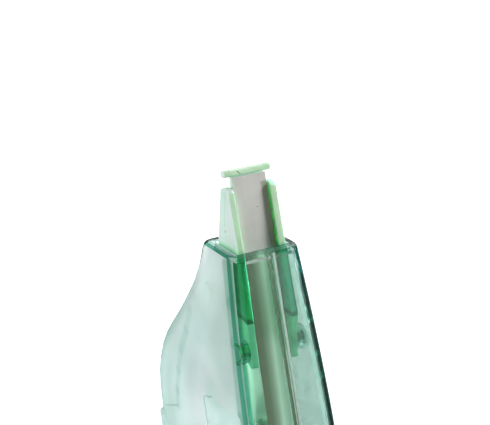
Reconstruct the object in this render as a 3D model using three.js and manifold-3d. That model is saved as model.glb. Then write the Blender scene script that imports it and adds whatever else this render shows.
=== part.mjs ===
// Correction tape dispenser with a geared reel pair, standing on its foot with the tip up.
// Millimetres. x runs across the thickness (left is minus), y from the narrow tape edge back to the
// thumb edge, z up. The origin is under the middle of the object, on the surface that it stands on.

import * as THREE from 'three';
import { mergeVertices } from 'three/addons/utils/BufferGeometryUtils.js';
import Module from 'manifold-3d';

const wasm = await Module();
wasm.setup();

// Fits
const fit = 0.3;                // clearance between a piece and what carries it
const film = 0.2;               // thickness of the tape and of the backing film
const wall = 1.1;               // wall of the case
const seamGap = 0.1;            // gap between the case halves

// Tape and head, with heights counted from the flat top of the case's neck
const tapeWidth = 5;
const cheekGap = 0.25;          // from the edge of the tape to a cheek
const cheekRoom = 0.4;          // from a cheek to the mouth of the case
const cheekThickness = 0.9;
const cheekHeight = 8.6;
const cheekFrontLow = 1.6;      // y of the cheek's front edge where it leaves the neck
const cheekFrontHigh = 3.3;
const cheekBackLow = 8.2;
const cheekBackHigh = 5.7;
const cheekRounding = 0.9;
const tapeTopY = 4.0;           // y of the tape's face under the bar
const tapeNeckY = 2.2;          // y of the tape's face where it enters the case
const tapeTopHeight = 10.05;
const neckDrop = 0.6;           // the tape turns inside the case this far below the top of the neck
const bladeHalfWidth = 2.4;
const bladeTipThickness = 0.75;
const bladeRootThickness = 2.2;
const barLength = 7.06;
const barHeight = 0.86;
const barDepth = 1.15;
const barRounding = 0.26;
const barRoom = 0.1;            // from the bar to the film that wraps it
const headDepth = 11.6;         // how far the head's base reaches into the case
const tailDrop = 14.2;          // trunnion axis below the top of the neck
const tailY = 1.2;
const tailRadius = 2.7;
const baseFillet = 0.9;
const trunnionRadius = 0.8;
const trunnionLength = 1.3;
const bossWall = 0.6;           // wall of the boss that each trunnion sits in
const join = 0.05;              // how far fused bodies run into each other

// Gears and reels
const supplyTeeth = 42;
const pinionTeeth = 16;
const gearBacklash = 0.16;
const gearThickness = 1.3;
const addendum = 1;             // height of a tooth above the pitch circle, in modules
const dedendum = 1.25;
const pressureAngle = 20;
const flangeThickness = 0.6;
const reelSideGap = 0.2;        // from the edge of the tape to a flange
const gearTrainLean = 7.7;      // degrees that the take-up reel stands forward of the supply gear
const supplyPostRadius = 2.4;
const sleeveWall = 1.3;
const clutchRoom = 1.5;         // ring of space that the clutch spring works in
const clutchThickness = 0.7;
const spoolWall = 1.4;
const flangeRoom = 1.15;        // between the flanges of the two reels
const flangeRise = 0.6;         // the supply spool's flange above its full roll
const washerThickness = 0.45;
const retainerThickness = 0.7;
const retainerInset = 1;        // the retainer's edge, inside the spool's core
const takeUpPostRadius = 1.5;
const takeUpFlangeLip = 0.75;   // the take-up flange beyond the tips of its pinion
const takeUpFlangeRise = 1.5;   // the take-up flange above the film wound so far
const woundFilm = 1;            // depth of the film wound so far
const rollGap = 0.1;            // between a roll and its core
const drumWall = 0.9;
const takeUpSleeveWall = 1.1;
const gearRimDepth = 2.6;       // from the pitch circle in to the gear's web, in modules
const webThickness = 0.8;
const windowCount = 6;
const windowRoom = 0.8;         // from a window to the rim and to the spool
const springLobes = 3;
const springSteps = 48;
const feedRollerRadius = 1.6;
const feedRollerPin = 0.8;
const feedRollerY = 0.5;
const feedRoom = 0.88;          // from the supply gear's tips to the cup that holds the feed roller's pin
const returnRollerRadius = 1.1;
const returnRollerPin = 0.5;
const rollerRim = 0.6;          // how far the feed roller's rims stand out
const rollerRimWidth = 0.5;
const postStep = 0.5;           // how far the shoulders stand out round the thin posts
const returnRollerDrop = 13.6;

// Case
const shoulderHeight = 66;
const neckFrontY = -0.7;
const neckBackY = 11.8;
const neckBackLean = 1.64;      // the back edge sets out this far back, at its first handle
const neckBackHandle = 0.387;   // handles of the back edge's curve, as shares of its height
const bulgeHandle = 0.456;
const bulgeRise = 12.5;         // the back edge is furthest out this far above the supply reel
const frontRoom = 3.2;          // from the supply gear to the inside of the front edge
const backRoom = 4.7;
const frontMostRise = 2;
const footRoom = 2.2;           // from the supply gear down to the floor of the case
const neckRoom = 2.45;          // from the take-up flange up to the return roller
const cupWall = 0.7;            // wall of the cups that steady the ends of the posts
const supplyY = 13.7;
const sideRoom = 1.0;           // from the gears to the side wall
const taperDepth = 40;          // the thickness grows over this depth below the neck
const frontSlope = 9.6;         // degrees that the front edge leans forward on its way down
const frontCornerX = 1.6;
const frontCornerY = 3.1;
const backCornerX = 1.4;
const backCornerY = 1.9;
const topRounding = 0.45;
const backTopRounding = 1.8;    // the top of the back edge is rounder
const footRounding = 2.0;
const leastCorner = 0.3;
const footCurve = 5;            // the lowest part, where the sections lie close together
const footHalfLength = 7.6;
const rimHeight = 1.2;
const lipDepth = 2.0;           // the front bar of the mouth, from the front edge to the tape
const seamLip = 0.25;           // how far the seam bead stands out of the front edge
const seamLipWidth = 1.2;
const thumbTop = 9;             // thumb rest, counted down from the neck
const thumbBottom = 38.3;
const thumbBlend = 9;
const thumbWidth = 5.6;
const thumbInset = 2.6;
const thumbProud = 0.25;        // the pad of the thumb rest stands out of the back edge by this
const snapPinRadius = 0.8;
const snapBossWall = 0.7;
const snapReach = 2.2;
const snapAngles = [49, -58, -122];   // degrees round the supply gear, from straight back
const neckSnapDrop = 8.2;
const neckSnapBack = 1.9;       // how far back of the mouth's back edge the neck's snap sits
const labelTopDrop = 25.4;      // the label's top back corner, below the neck
const labelBackY = 12.5;
const labelWidth = 13.5;
const labelLength = 25;
const labelThickness = 0.15;
const labelRecess = 0.25;
const labelMargin = 0.15;       // bare recess round the label
const labelCorner = 0.9;

// Derived sizes
const halfTape = tapeWidth / 2;
const spoolHalf = halfTape + reelSideGap;
const flangeSide = spoolHalf + flangeThickness;
const gearLeft = flangeSide + fit;
const gearRight = gearLeft + gearThickness;
const bodyHalf = gearRight + sideRoom + wall;
const innerHalf = bodyHalf - wall;
const cheekInner = halfTape + cheekGap;
const cheekOuter = cheekInner + cheekThickness;
const mouthHalf = cheekOuter + cheekRoom;
const shoulderHalf = mouthHalf + wall;
const lean = THREE.MathUtils.degToRad(gearTrainLean);
const returnRollerZ = shoulderHeight - returnRollerDrop;
// The gears fill the height between the floor of the case and the return roller: the supply gear to
// its tips, the distance between the axes, and the take-up flange.
const gearStack = returnRollerZ - returnRollerRadius - neckRoom - takeUpFlangeLip - footRoom - wall;
const supplyTipModules = supplyTeeth / 2 + addendum;
const pinionTipModules = pinionTeeth / 2 + addendum;
const distanceModules = (supplyTeeth + pinionTeeth) / 2;
const gearModule = gearStack / (supplyTipModules + distanceModules * Math.cos(lean) + pinionTipModules);
const supplyPitch = gearModule * supplyTeeth / 2;
const gearDistance = gearModule * distanceModules;
const supplyTip = gearModule * supplyTipModules;
const takeUpFlangeRadius = gearModule * pinionTipModules + takeUpFlangeLip;
const takeUpRollRadius = takeUpFlangeRadius - takeUpFlangeRise;
const takeUpCoreRadius = takeUpRollRadius - woundFilm;
const spoolFlangeRadius = gearDistance - takeUpFlangeRadius - flangeRoom;
const supplyRollRadius = spoolFlangeRadius - flangeRise;
const supplyZ = supplyTip + footRoom + wall;
const takeUpY = supplyY - gearDistance * Math.sin(lean);
const takeUpZ = supplyZ + gearDistance * Math.cos(lean);
const sleeveBore = supplyPostRadius + fit;
const sleeveRadius = sleeveBore + sleeveWall;
const spoolBore = sleeveRadius + clutchRoom;
const spoolRadius = spoolBore + spoolWall;
const sleeveLeft = -flangeSide - fit - retainerThickness;
const trunnionBore = trunnionRadius + fit;
const reelBore = takeUpPostRadius + fit;
const reelSleeve = reelBore + takeUpSleeveWall;
const rollerHalf = spoolHalf + rollerRimWidth;
const barZ = shoulderHeight + tapeTopHeight + barHeight / 2;
const tailZ = shoulderHeight - tailDrop;
const feedCupRadius = feedRollerPin + fit + cupWall;
const feedRollerZ = supplyZ
  + Math.sqrt((supplyTip + feedCupRadius + feedRoom) ** 2 - (supplyY - feedRollerY) ** 2);

// Solids
const upright = new THREE.Matrix4().makeBasis(
  new THREE.Vector3(0, 1, 0), new THREE.Vector3(0, 0, 1), new THREE.Vector3(1, 0, 0));

function toSolid(geometry) {
  const bare = geometry.clone();
  bare.deleteAttribute('normal');
  bare.deleteAttribute('uv');
  const joined = mergeVertices(bare, 1e-4);
  return new wasm.Manifold(new wasm.Mesh({
    numProp: 3,
    vertProperties: new Float32Array(joined.attributes.position.array),
    triVerts: new Uint32Array(joined.index.array),
  }));
}

function toGeometry(solid) {
  const mesh = solid.getMesh();
  const geometry = new THREE.BufferGeometry();
  geometry.setAttribute('position', new THREE.BufferAttribute(new Float32Array(mesh.vertProperties), 3));
  geometry.setIndex(new THREE.BufferAttribute(new Uint32Array(mesh.triVerts), 1));
  geometry.computeVertexNormals();
  return geometry;
}

// A side-view outline (y, z) given thickness from x0 to x1.
const cornerSegments = 4;
const plateSegments = 8;

function slab(shape, x0, x1, curveSegments = cornerSegments) {
  const geometry = new THREE.ExtrudeGeometry(shape, { depth: x1 - x0, bevelEnabled: false, curveSegments });
  geometry.applyMatrix4(upright);
  geometry.translate(x0, 0, 0);
  return toSolid(geometry);
}

// A round piece along x, with a bore where one is given. Larger rounds take more segments.
const fewestSegments = 7;
const mostSegments = 22;
const segmentsPerMillimetre = 1.35;

function ring(y, z, radius, bore, x0, x1) {
  const segments = Math.min(fewestSegments + Math.round(radius * segmentsPerMillimetre), mostSegments);
  const shape = new THREE.Shape();
  shape.absarc(y, z, radius, 0, 2 * Math.PI, false);
  if (bore > 0) {
    const hole = new THREE.Path();
    hole.absarc(y, z, bore, 0, 2 * Math.PI, true);
    shape.holes.push(hole);
  }
  return slab(shape, x0, x1, segments);
}

function block(x0, x1, y0, y1, z0, z1) {
  const geometry = new THREE.BoxGeometry(x1 - x0, y1 - y0, z1 - z0);
  geometry.translate((x0 + x1) / 2, (y0 + y1) / 2, (z0 + z1) / 2);
  return toSolid(geometry);
}

function union(solids) {
  return solids.reduce((whole, next) => whole.add(next));
}

// The polygon round a path in the (y, z) plane, with the given thickness towards each side.
function ribbon(points, right, left) {
  const sides = [[], []];
  points.forEach((point, i) => {
    const before = points[Math.max(i - 1, 0)];
    const after = points[Math.min(i + 1, points.length - 1)];
    const along = after.clone().sub(before).normalize();
    const across = new THREE.Vector2(along.y, -along.x);
    sides[0].push(point.clone().addScaledVector(across, right));
    sides[1].push(point.clone().addScaledVector(across, -left));
  });
  return new THREE.Shape([...sides[0], ...sides[1].reverse()]);
}

// The case outline, seen from the side: each edge runs from the neck down to the foot.
const slope = Math.tan(THREE.MathUtils.degToRad(frontSlope));
const frontMostY = supplyY - supplyTip - frontRoom - wall;
const backMostY = supplyY + supplyTip + backRoom + wall;
const frontMostZ = supplyZ + frontMostRise;
const backMostZ = supplyZ + bulgeRise;
const footY = (frontMostY + backMostY) / 2;
const neckRun = shoulderHeight - frontMostZ;
const backRun = shoulderHeight - backMostZ;

const edgeSteps = 40;

function edge(curves, samples) {
  const points = [];
  curves.forEach(([a, b, c, d], k) => {
    const curve = new THREE.CubicBezierCurve(...[a, b, c, d].map(p => new THREE.Vector2(...p)));
    points.push(...curve.getPoints(samples).slice(k === 0 ? 0 : 1));
  });
  return points;
}

const frontEdge = edge([
  [[neckFrontY, shoulderHeight], [neckFrontY - neckRun / 2 * slope, shoulderHeight - neckRun / 2],
    [frontMostY, frontMostZ + neckRun / 4], [frontMostY, frontMostZ]],
  [[frontMostY, frontMostZ], [frontMostY, frontMostZ / 2],
    [footY - 2 * footHalfLength, 0], [footY - footHalfLength, 0]],
], edgeSteps);

const backEdge = edge([
  [[neckBackY, shoulderHeight],
    [neckBackY + neckBackLean, shoulderHeight - neckBackHandle * backRun],
    [backMostY, backMostZ + bulgeHandle * backRun], [backMostY, backMostZ]],
  [[backMostY, backMostZ], [backMostY, backMostZ / 2],
    [footY + 2 * footHalfLength, 0], [footY + footHalfLength, 0]],
], edgeSteps);

function inset(points, distance, side) {
  return points.map((point, i) => {
    const before = points[Math.max(i - 1, 0)];
    const after = points[Math.min(i + 1, points.length - 1)];
    const along = after.clone().sub(before).normalize();
    return new THREE.Vector2(point.x - side * along.y * distance, point.y + side * along.x * distance);
  });
}

function edgeAt(points, z) {
  const i = Math.max(1, points.findIndex(point => point.y <= z));
  const [high, low] = [points[i - 1], points[i]];
  const share = THREE.MathUtils.clamp((high.y - z) / (high.y - low.y || 1), 0, 1);
  return THREE.MathUtils.lerp(high.x, low.x, share);
}

// Half the outside thickness at a height: it grows down from the neck, ever slower, and then stays.
function halfAt(z) {
  const share = THREE.MathUtils.clamp((shoulderHeight - z) / taperDepth, 0, 1);
  return bodyHalf - (bodyHalf - shoulderHalf) * (1 - share) ** 2;
}

function quarter(depth, radius) {
  const share = THREE.MathUtils.clamp(1 - depth / radius, 0, 1);
  return radius * (1 - Math.sqrt(1 - share * share));
}

// How strongly the thumb rest cuts into the back corners at a height: 0 is not at all.
function thumbAt(z) {
  const drop = shoulderHeight - z;
  if (drop < thumbTop || drop > thumbBottom) return 0;
  return THREE.MathUtils.smoothstep(drop, thumbTop, thumbTop + thumbBlend);
}

const cornerSteps = 5;

// One level section of the case as a closed ring, drawn in by the wall for the cavity.
function section(z, front, back, drawnIn) {
  const squeeze = drawnIn > 0 ? 0 : quarter(shoulderHeight - z, topRounding);
  const half = halfAt(z) - drawnIn - squeeze - (drawnIn > 0 ? 0 : quarter(z, footRounding));
  const y0 = edgeAt(front, z) + squeeze;
  const thumb = thumbAt(z);
  const backSqueeze = drawnIn > 0 ? 0 : quarter(shoulderHeight - z, backTopRounding);
  const y1 = edgeAt(back, z) - backSqueeze + thumb * thumbProud;
  const depth = (y1 - y0) / 2;
  const tighter = drawnIn + squeeze;
  const frontX = Math.max(frontCornerX - tighter, leastCorner);
  const frontY = Math.min(Math.max(frontCornerY - tighter, leastCorner), depth);
  const backX = Math.max(THREE.MathUtils.lerp(backCornerX, thumbInset, thumb) - tighter, leastCorner);
  const backY = Math.min(
    Math.max(THREE.MathUtils.lerp(backCornerY, thumbWidth, thumb) - tighter, leastCorner), depth);
  const right = [];
  for (let i = 0; i <= cornerSteps; i++) {
    const turn = Math.PI / 2 * i / cornerSteps;
    right.push([half - frontX + frontX * Math.sin(turn), y0 + frontY - frontY * Math.cos(turn)]);
  }
  for (let i = 0; i <= cornerSteps; i++) {
    const turn = Math.PI / 2 * i / cornerSteps;
    right.push([half - backX + backX * Math.cos(turn), y1 - backY + backY * Math.sin(turn)]);
  }
  const left = right.map(([x, y]) => [-x, y]).reverse();
  return [[0, y0], ...right, [0, y1], ...left].map(([x, y]) => new THREE.Vector3(x, y, z));
}

// A closed body through level rings, lowest first, each with a fan over its end.
function loft(rings) {
  const count = rings[0].length;
  const ends = [rings[0], rings[rings.length - 1]].map(points =>
    points.reduce((sum, point) => sum.add(point), new THREE.Vector3()).divideScalar(count));
  const position = [...rings.flat(), ...ends].flatMap(point => point.toArray());
  const index = [];
  const [bottom, top] = [rings.length * count, rings.length * count + 1];
  const last = (rings.length - 1) * count;
  for (let i = 0; i < count; i++) {
    const next = (i + 1) % count;
    for (let k = 0; k < rings.length - 1; k++) {
      const low = k * count;
      const high = low + count;
      index.push(low + i, low + next, high + next, low + i, high + next, high + i);
    }
    index.push(bottom, next, i, top, last + i, last + next);
  }
  const geometry = new THREE.BufferGeometry();
  geometry.setAttribute('position', new THREE.BufferAttribute(new Float32Array(position), 3));
  geometry.setIndex(index);
  return toSolid(geometry);
}

// Heights between two levels, closer together near the foot, the neck and the end of the thumb rest.
const levelStep = 2.8;
const thumbStep = 0.3;
const footShares = [0, 0.08, 0.25, 0.5, 0.75, 1];
const neckShares = [1, 0.6, 0.3, 0.12, 0.03, 0];

function levels(low, high, lowRound, highRound) {
  const [start, end] = [low + lowRound, high - highRound];
  const count = Math.round((end - start) / levelStep);
  const list = footShares.map(share => low + lowRound * share);
  for (let i = 1; i < count; i++) list.push(start + (end - start) * i / count);
  list.push(...neckShares.map(share => high - highRound * share));
  const step = shoulderHeight - thumbBottom;
  const clear = list.filter(z => Math.abs(z - step) > 2 * thumbStep);
  return [...clear, step - thumbStep / 2, step + thumbStep / 2].sort((a, b) => a - b);
}

const frontInside = inset(frontEdge, wall, 1);
const backInside = inset(backEdge, wall, -1);
const outerBody = loft(levels(0, shoulderHeight, footCurve, backTopRounding)
  .map(z => section(z, frontEdge, backEdge, 0)));
const cavity = loft(levels(wall, shoulderHeight - rimHeight, footCurve - wall, wall)
  .map(z => section(z, frontInside, backInside, wall)));

const beadShape = new THREE.Shape([
  ...frontEdge.filter(point => point.y > footRounding)
    .map(point => new THREE.Vector2(point.x - seamLip, point.y)),
  new THREE.Vector2(supplyY, footRounding), new THREE.Vector2(neckBackY / 2, shoulderHeight)]);
const bead = slab(beadShape, -seamLipWidth / 2, seamLipWidth / 2);
const mouthFront = neckFrontY + lipDepth;
const mouthBack = cheekBackLow + fit;
const mouth = block(-mouthHalf, mouthHalf, mouthFront, mouthBack,
  shoulderHeight - 2 * rimHeight, shoulderHeight + rimHeight);
const shell = outerBody.add(bead.subtract(cavity)).subtract(cavity).subtract(mouth);

// Inside face of the side wall at a height, and where a post starts so that it is rooted in the wall
const insideAt = z => halfAt(z) - wall;
const rootAt = z => insideAt(z) + wall / 2;

// The four snaps that hold the halves together: y, z of each, one in the neck and three round the gear
const snapBoss = snapPinRadius + fit + snapBossWall;
const snapCircle = supplyTip + fit + snapBoss;
const snaps = [
  [mouthBack + neckSnapBack, shoulderHeight - neckSnapDrop],
  ...snapAngles.map(THREE.MathUtils.degToRad).map(turn =>
    [supplyY + snapCircle * Math.cos(turn), supplyZ + snapCircle * Math.sin(turn)]),
];

// Left half: it carries the full-length posts and the snap sockets.
function leftPosts() {
  const right = insideAt(supplyZ);
  const solids = [
    ring(supplyY, supplyZ, supplyPostRadius, 0, -rootAt(supplyZ), right - fit),
    ring(supplyY, supplyZ, sleeveRadius, 0, -rootAt(supplyZ), sleeveLeft - fit),
    ring(takeUpY, takeUpZ, takeUpPostRadius, 0, -rootAt(takeUpZ), insideAt(takeUpZ) - fit),
    ring(takeUpY, takeUpZ, takeUpPostRadius + 2 * postStep, 0, -rootAt(takeUpZ), -flangeSide - fit),
    ring(feedRollerY, feedRollerZ, feedRollerPin, 0, -rootAt(feedRollerZ), insideAt(feedRollerZ) - fit),
    ring(feedRollerY, feedRollerZ, feedRollerPin + postStep, 0, -rootAt(feedRollerZ), -rollerHalf - fit),
    ring(returnRollerY, returnRollerZ, returnRollerPin, 0, -rootAt(returnRollerZ),
      insideAt(returnRollerZ) - fit),
    ring(returnRollerY, returnRollerZ, returnRollerPin + postStep, 0, -rootAt(returnRollerZ),
      -spoolHalf - fit),
    ring(tailY, tailZ, trunnionBore + bossWall, trunnionBore, -rootAt(tailZ), -mouthHalf),
  ];
  snaps.forEach(([y, z]) => solids.push(
    ring(y, z, snapBoss, snapPinRadius + fit, -rootAt(z), -seamGap / 2)));
  return union(solids);
}

// Right half: cups that steady the ends of the posts, and the snap pins.
function rightPosts() {
  const cup = (y, z, radius, depth) =>
    ring(y, z, radius + fit + cupWall, radius + fit, insideAt(z) - depth, rootAt(z));
  const solids = [
    cup(supplyY, supplyZ, supplyPostRadius, sideRoom - fit),
    cup(takeUpY, takeUpZ, takeUpPostRadius, sideRoom - fit),
    cup(feedRollerY, feedRollerZ, feedRollerPin, insideAt(feedRollerZ) - rollerHalf - fit),
    cup(returnRollerY, returnRollerZ, returnRollerPin, insideAt(returnRollerZ) - spoolHalf - fit),
    cup(tailY, tailZ, trunnionRadius, insideAt(tailZ) - mouthHalf),
  ];
  snaps.forEach(([y, z]) => {
    solids.push(ring(y, z, snapPinRadius + snapBossWall, 0, seamGap / 2, rootAt(z)));
    solids.push(ring(y, z, snapPinRadius, 0, -snapReach, rootAt(z)));
  });
  return union(solids);
}

// Label on the left face, lined up with the front edge
function labelShape(margin) {
  const tilt = THREE.MathUtils.degToRad(frontSlope);
  const across = new THREE.Vector2(-Math.cos(tilt), Math.sin(tilt));
  const down = new THREE.Vector2(-Math.sin(tilt), -Math.cos(tilt));
  const corner = new THREE.Vector2(labelBackY, shoulderHeight - labelTopDrop);
  const at = (a, d) => corner.clone().addScaledVector(across, a).addScaledVector(down, d);
  const [a0, a1, d0, d1] = [-margin, labelWidth + margin, -margin, labelLength + margin];
  const shape = new THREE.Shape();
  const r = labelCorner;
  const corners = [[a0, d0], [a0, d1], [a1, d1], [a1, d0]];
  corners.forEach(([a, d], i) => {
    const [pa, pd] = corners[(i + 3) % 4];
    const [na, nd] = corners[(i + 1) % 4];
    const enter = at(a + Math.sign(pa - a) * r, d + Math.sign(pd - d) * r);
    const leave = at(a + Math.sign(na - a) * r, d + Math.sign(nd - d) * r);
    const tip = at(a, d);
    if (i === 0) shape.moveTo(enter.x, enter.y);
    else shape.lineTo(enter.x, enter.y);
    shape.quadraticCurveTo(tip.x, tip.y, leave.x, leave.y);
  });
  shape.closePath();
  return shape;
}

// The label follows the curve of the side, in a recess of even depth.
const sunk = depth => outerBody.translate([depth, 0, 0]);
const recess = slab(labelShape(labelMargin), -bodyHalf - 1, -shoulderHalf).subtract(sunk(labelRecess));
const label = slab(labelShape(0), -bodyHalf - 1, -shoulderHalf)
  .intersect(sunk(labelRecess - join - labelThickness)).subtract(sunk(labelRecess - join));

// The straight run that touches two circles on their front side, from the first to the second
function touching(y0, z0, r0, y1, z1, r1) {
  const dy = y1 - y0;
  const dz = z1 - z0;
  const distance = Math.hypot(dy, dz);
  const aim = Math.atan2(dz, dy) + Math.PI / 2 + Math.asin((r1 - r0) / distance);
  const side = new THREE.Vector2(Math.cos(aim), Math.sin(aim));
  return [[y0, z0, r0], [y1, z1, r1]]
    .map(([y, z, radius]) => new THREE.Vector2(y, z).addScaledVector(side, radius));
}

const neckZ = shoulderHeight - neckDrop;
const tapeTop = new THREE.Vector2(tapeTopY + film / 2, shoulderHeight + tapeTopHeight - film);
const tapeNeck = new THREE.Vector2(tapeNeckY + film / 2, neckZ);
const feedWrap = feedRollerRadius + fit + film / 2;
const supplyWrap = supplyRollRadius + fit + film / 2;
const [feedIn, feedOut] = touching(feedRollerY, feedRollerZ, feedWrap, tapeNeck.x, tapeNeck.y, 0);
const [supplyOut, feedBack] = touching(supplyY, supplyZ, supplyWrap, feedRollerY, feedRollerZ, feedWrap);

// Blade: its front follows the tape, and the film runs down behind it
const bladeTip = { front: tapeTopY + film + fit, back: tapeTopY + film + fit + bladeTipThickness };
const barY = (bladeTip.front + bladeTip.back) / 2;
const barWrap = barDepth / 2 + barRoom + film / 2;
const filmTop = new THREE.Vector2(barY + barWrap, barZ);
const takeUpWrap = takeUpRollRadius + fit + film / 2;
const [filmEnd] = touching(takeUpY, takeUpZ, takeUpWrap, filmTop.x, filmTop.y, 0);
const filmAt = z => THREE.MathUtils.mapLinear(z, filmTop.y, filmEnd.y, filmTop.x, filmEnd.x);
const tapeAt = z => THREE.MathUtils.mapLinear(z, tapeNeck.y, feedIn.y, tapeNeck.x, feedIn.x);
const returnRollerY = filmAt(returnRollerZ) + film / 2 + fit + returnRollerRadius;

const wrapOnRoll = 0.5;         // radians that the tape and the film follow the roll's outside

function arcPoints(y, z, radius, from, to, steps) {
  return Array.from({ length: steps + 1 }, (_, i) => {
    const turn = THREE.MathUtils.lerp(from, to, i / steps);
    return new THREE.Vector2(y + radius * Math.cos(turn), z + radius * Math.sin(turn));
  });
}

const angleOn = (point, y, z) => {
  const turn = Math.atan2(point.y - z, point.x - y);
  return turn < 0 ? turn + 2 * Math.PI : turn;
};

function feedTape() {
  const roller = arcPoints(feedRollerY, feedRollerZ, feedWrap,
    angleOn(feedIn, feedRollerY, feedRollerZ), angleOn(feedBack, feedRollerY, feedRollerZ), 3);
  const start = angleOn(supplyOut, supplyY, supplyZ);
  const roll = arcPoints(supplyY, supplyZ, supplyWrap, start, start + wrapOnRoll, 4);
  return slab(ribbon([tapeTop, tapeNeck, ...roller, ...roll], film / 2, film / 2), -halfTape, halfTape);
}

function backingFilm() {
  const over = arcPoints(barY, barZ, barWrap, Math.PI, 0, 8);
  const start = angleOn(filmEnd, takeUpY, takeUpZ);
  const roll = arcPoints(takeUpY, takeUpZ, takeUpWrap, start, start + wrapOnRoll, 4);
  const front = new THREE.Vector2(over[0].x, shoulderHeight + tapeTopHeight);
  return slab(ribbon([front, ...over, ...roll], film / 2, film / 2), -halfTape, halfTape);
}

// Head: a plate on each side with its cheek and tail, the base and the blade between them
function plateShape() {
  const top = shoulderHeight + cheekHeight;
  const baseZ = shoulderHeight - headDepth;
  const r = cheekRounding;
  const tailBack = tailY + tailRadius;
  const frontAt = z => THREE.MathUtils.mapLinear(z, shoulderHeight, top, cheekFrontLow, cheekFrontHigh);
  const backAt = z => THREE.MathUtils.mapLinear(z, shoulderHeight, top, cheekBackLow, cheekBackHigh);
  const shape = new THREE.Shape();
  shape.moveTo(cheekBackLow, shoulderHeight);
  shape.lineTo(backAt(top - r), top - r);
  shape.quadraticCurveTo(cheekBackHigh, top, cheekBackHigh - r, top);
  shape.lineTo(cheekFrontHigh + r, top);
  shape.quadraticCurveTo(cheekFrontHigh, top, frontAt(top - r), top - r);
  shape.lineTo(cheekFrontLow, shoulderHeight);
  shape.lineTo(tailY - tailRadius, tailZ);
  shape.absarc(tailY, tailZ, tailRadius, Math.PI, 2 * Math.PI, false);
  shape.lineTo(tailBack, baseZ - baseFillet);
  shape.quadraticCurveTo(tailBack, baseZ, tailBack + baseFillet, baseZ);
  shape.lineTo(cheekBackLow - baseFillet, baseZ);
  shape.closePath();
  return shape;
}

function head() {
  const baseZ = shoulderHeight - headDepth;
  const front = z => tapeAt(z) + film / 2 + fit;
  const back = z => filmAt(z) - film / 2 - fit;
  const web = new THREE.Shape([
    new THREE.Vector2(front(baseZ), baseZ), new THREE.Vector2(back(baseZ), baseZ),
    new THREE.Vector2(back(shoulderHeight), shoulderHeight),
    new THREE.Vector2(front(neckZ) + 2 * join, shoulderHeight)]);
  const blade = new THREE.Shape([
    new THREE.Vector2(front(neckZ), neckZ), new THREE.Vector2(bladeTip.front, barZ),
    new THREE.Vector2(bladeTip.back, barZ),
    new THREE.Vector2(Math.min(front(neckZ) + bladeRootThickness, back(neckZ)), neckZ)]);
  const r = barRounding;
  const [y0, y1] = [barY - barDepth / 2, barY + barDepth / 2];
  const [z0, z1] = [barZ - barHeight / 2, barZ + barHeight / 2];
  const bar = new THREE.Shape();
  bar.moveTo(y0 + r, z0);
  bar.lineTo(y1 - r, z0);
  bar.quadraticCurveTo(y1, z0, y1, z0 + r);
  bar.lineTo(y1, z1 - r);
  bar.quadraticCurveTo(y1, z1, y1 - r, z1);
  bar.lineTo(y0 + r, z1);
  bar.quadraticCurveTo(y0, z1, y0, z1 - r);
  bar.lineTo(y0, z0 + r);
  bar.quadraticCurveTo(y0, z0, y0 + r, z0);
  const solids = [
    slab(web, -cheekInner - join, cheekInner + join),
    slab(blade, -bladeHalfWidth, bladeHalfWidth),
    slab(bar, -barLength / 2, barLength / 2),
  ];
  for (const side of [-1, 1]) {
    const [inner, outer] = [side * cheekInner, side * cheekOuter].sort((a, b) => a - b);
    solids.push(slab(plateShape(), inner, outer, plateSegments));
    const [root, end] = [side * (cheekOuter - join), side * (cheekOuter + trunnionLength)]
      .sort((a, b) => a - b);
    solids.push(ring(tailY, tailZ, trunnionRadius, 0, root, end));
  }
  return union(solids);
}

// Gears
function gearShape(y, z, teeth, firstTooth, bore) {
  const pitch = gearModule * teeth / 2;
  const pressure = THREE.MathUtils.degToRad(pressureAngle);
  const base = pitch * Math.cos(pressure);
  const involute = angle => Math.tan(angle) - angle;
  const halfTooth = Math.PI / (2 * teeth) - gearBacklash / (2 * pitch) + involute(pressure);
  const root = pitch - dedendum * gearModule;
  const tip = pitch + addendum * gearModule;
  const flank = [root, base, pitch, tip].filter(radius => radius === root || radius > root + join)
    .map(radius => [radius, halfTooth - involute(Math.acos(Math.min(1, base / radius)))]);
  const points = [];
  for (let i = 0; i < teeth; i++) {
    const middle = firstTooth + 2 * Math.PI * i / teeth;
    for (const [radius, half] of flank) points.push([radius, middle - half]);
    for (const [radius, half] of [...flank].reverse()) points.push([radius, middle + half]);
  }
  const shape = new THREE.Shape(points.map(([radius, angle]) =>
    new THREE.Vector2(y + radius * Math.cos(angle), z + radius * Math.sin(angle))));
  const hole = new THREE.Path();
  hole.absarc(y, z, bore, 0, 2 * Math.PI, true);
  shape.holes.push(hole);
  return shape;
}

const meshAngle = Math.atan2(takeUpZ - supplyZ, takeUpY - supplyY);

// A round of windows that lighten a disc between two radii
function windows(y, z, count, inner, outer, x0, x1) {
  const radius = (outer - inner) / 2;
  const solids = Array.from({ length: count }, (_, i) => {
    const turn = 2 * Math.PI * i / count;
    const reach = (inner + outer) / 2;
    return ring(y + reach * Math.cos(turn), z + reach * Math.sin(turn), radius, 0, x0, x1);
  });
  return union(solids);
}

const gearRim = supplyPitch - gearRimDepth * gearModule;

function supplyGear() {
  const teeth = slab(gearShape(supplyY, supplyZ, supplyTeeth, meshAngle, gearRim), gearLeft, gearRight);
  const web = ring(supplyY, supplyZ, gearRim + join, sleeveBore, gearLeft, gearLeft + webThickness);
  const sleeve = ring(supplyY, supplyZ, sleeveRadius, sleeveBore, sleeveLeft, gearRight);
  const holes = windows(supplyY, supplyZ, windowCount, spoolRadius + windowRoom, gearRim - windowRoom,
    gearLeft - 1, gearRight);
  return union([teeth, web.subtract(holes), sleeve]);
}

function supplySpool() {
  const core = ring(supplyY, supplyZ, spoolRadius, spoolBore, -spoolHalf, spoolHalf);
  const flange = ring(supplyY, supplyZ, spoolFlangeRadius, sleeveRadius + fit, -flangeSide, -spoolHalf);
  return union([core, flange]);
}

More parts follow.
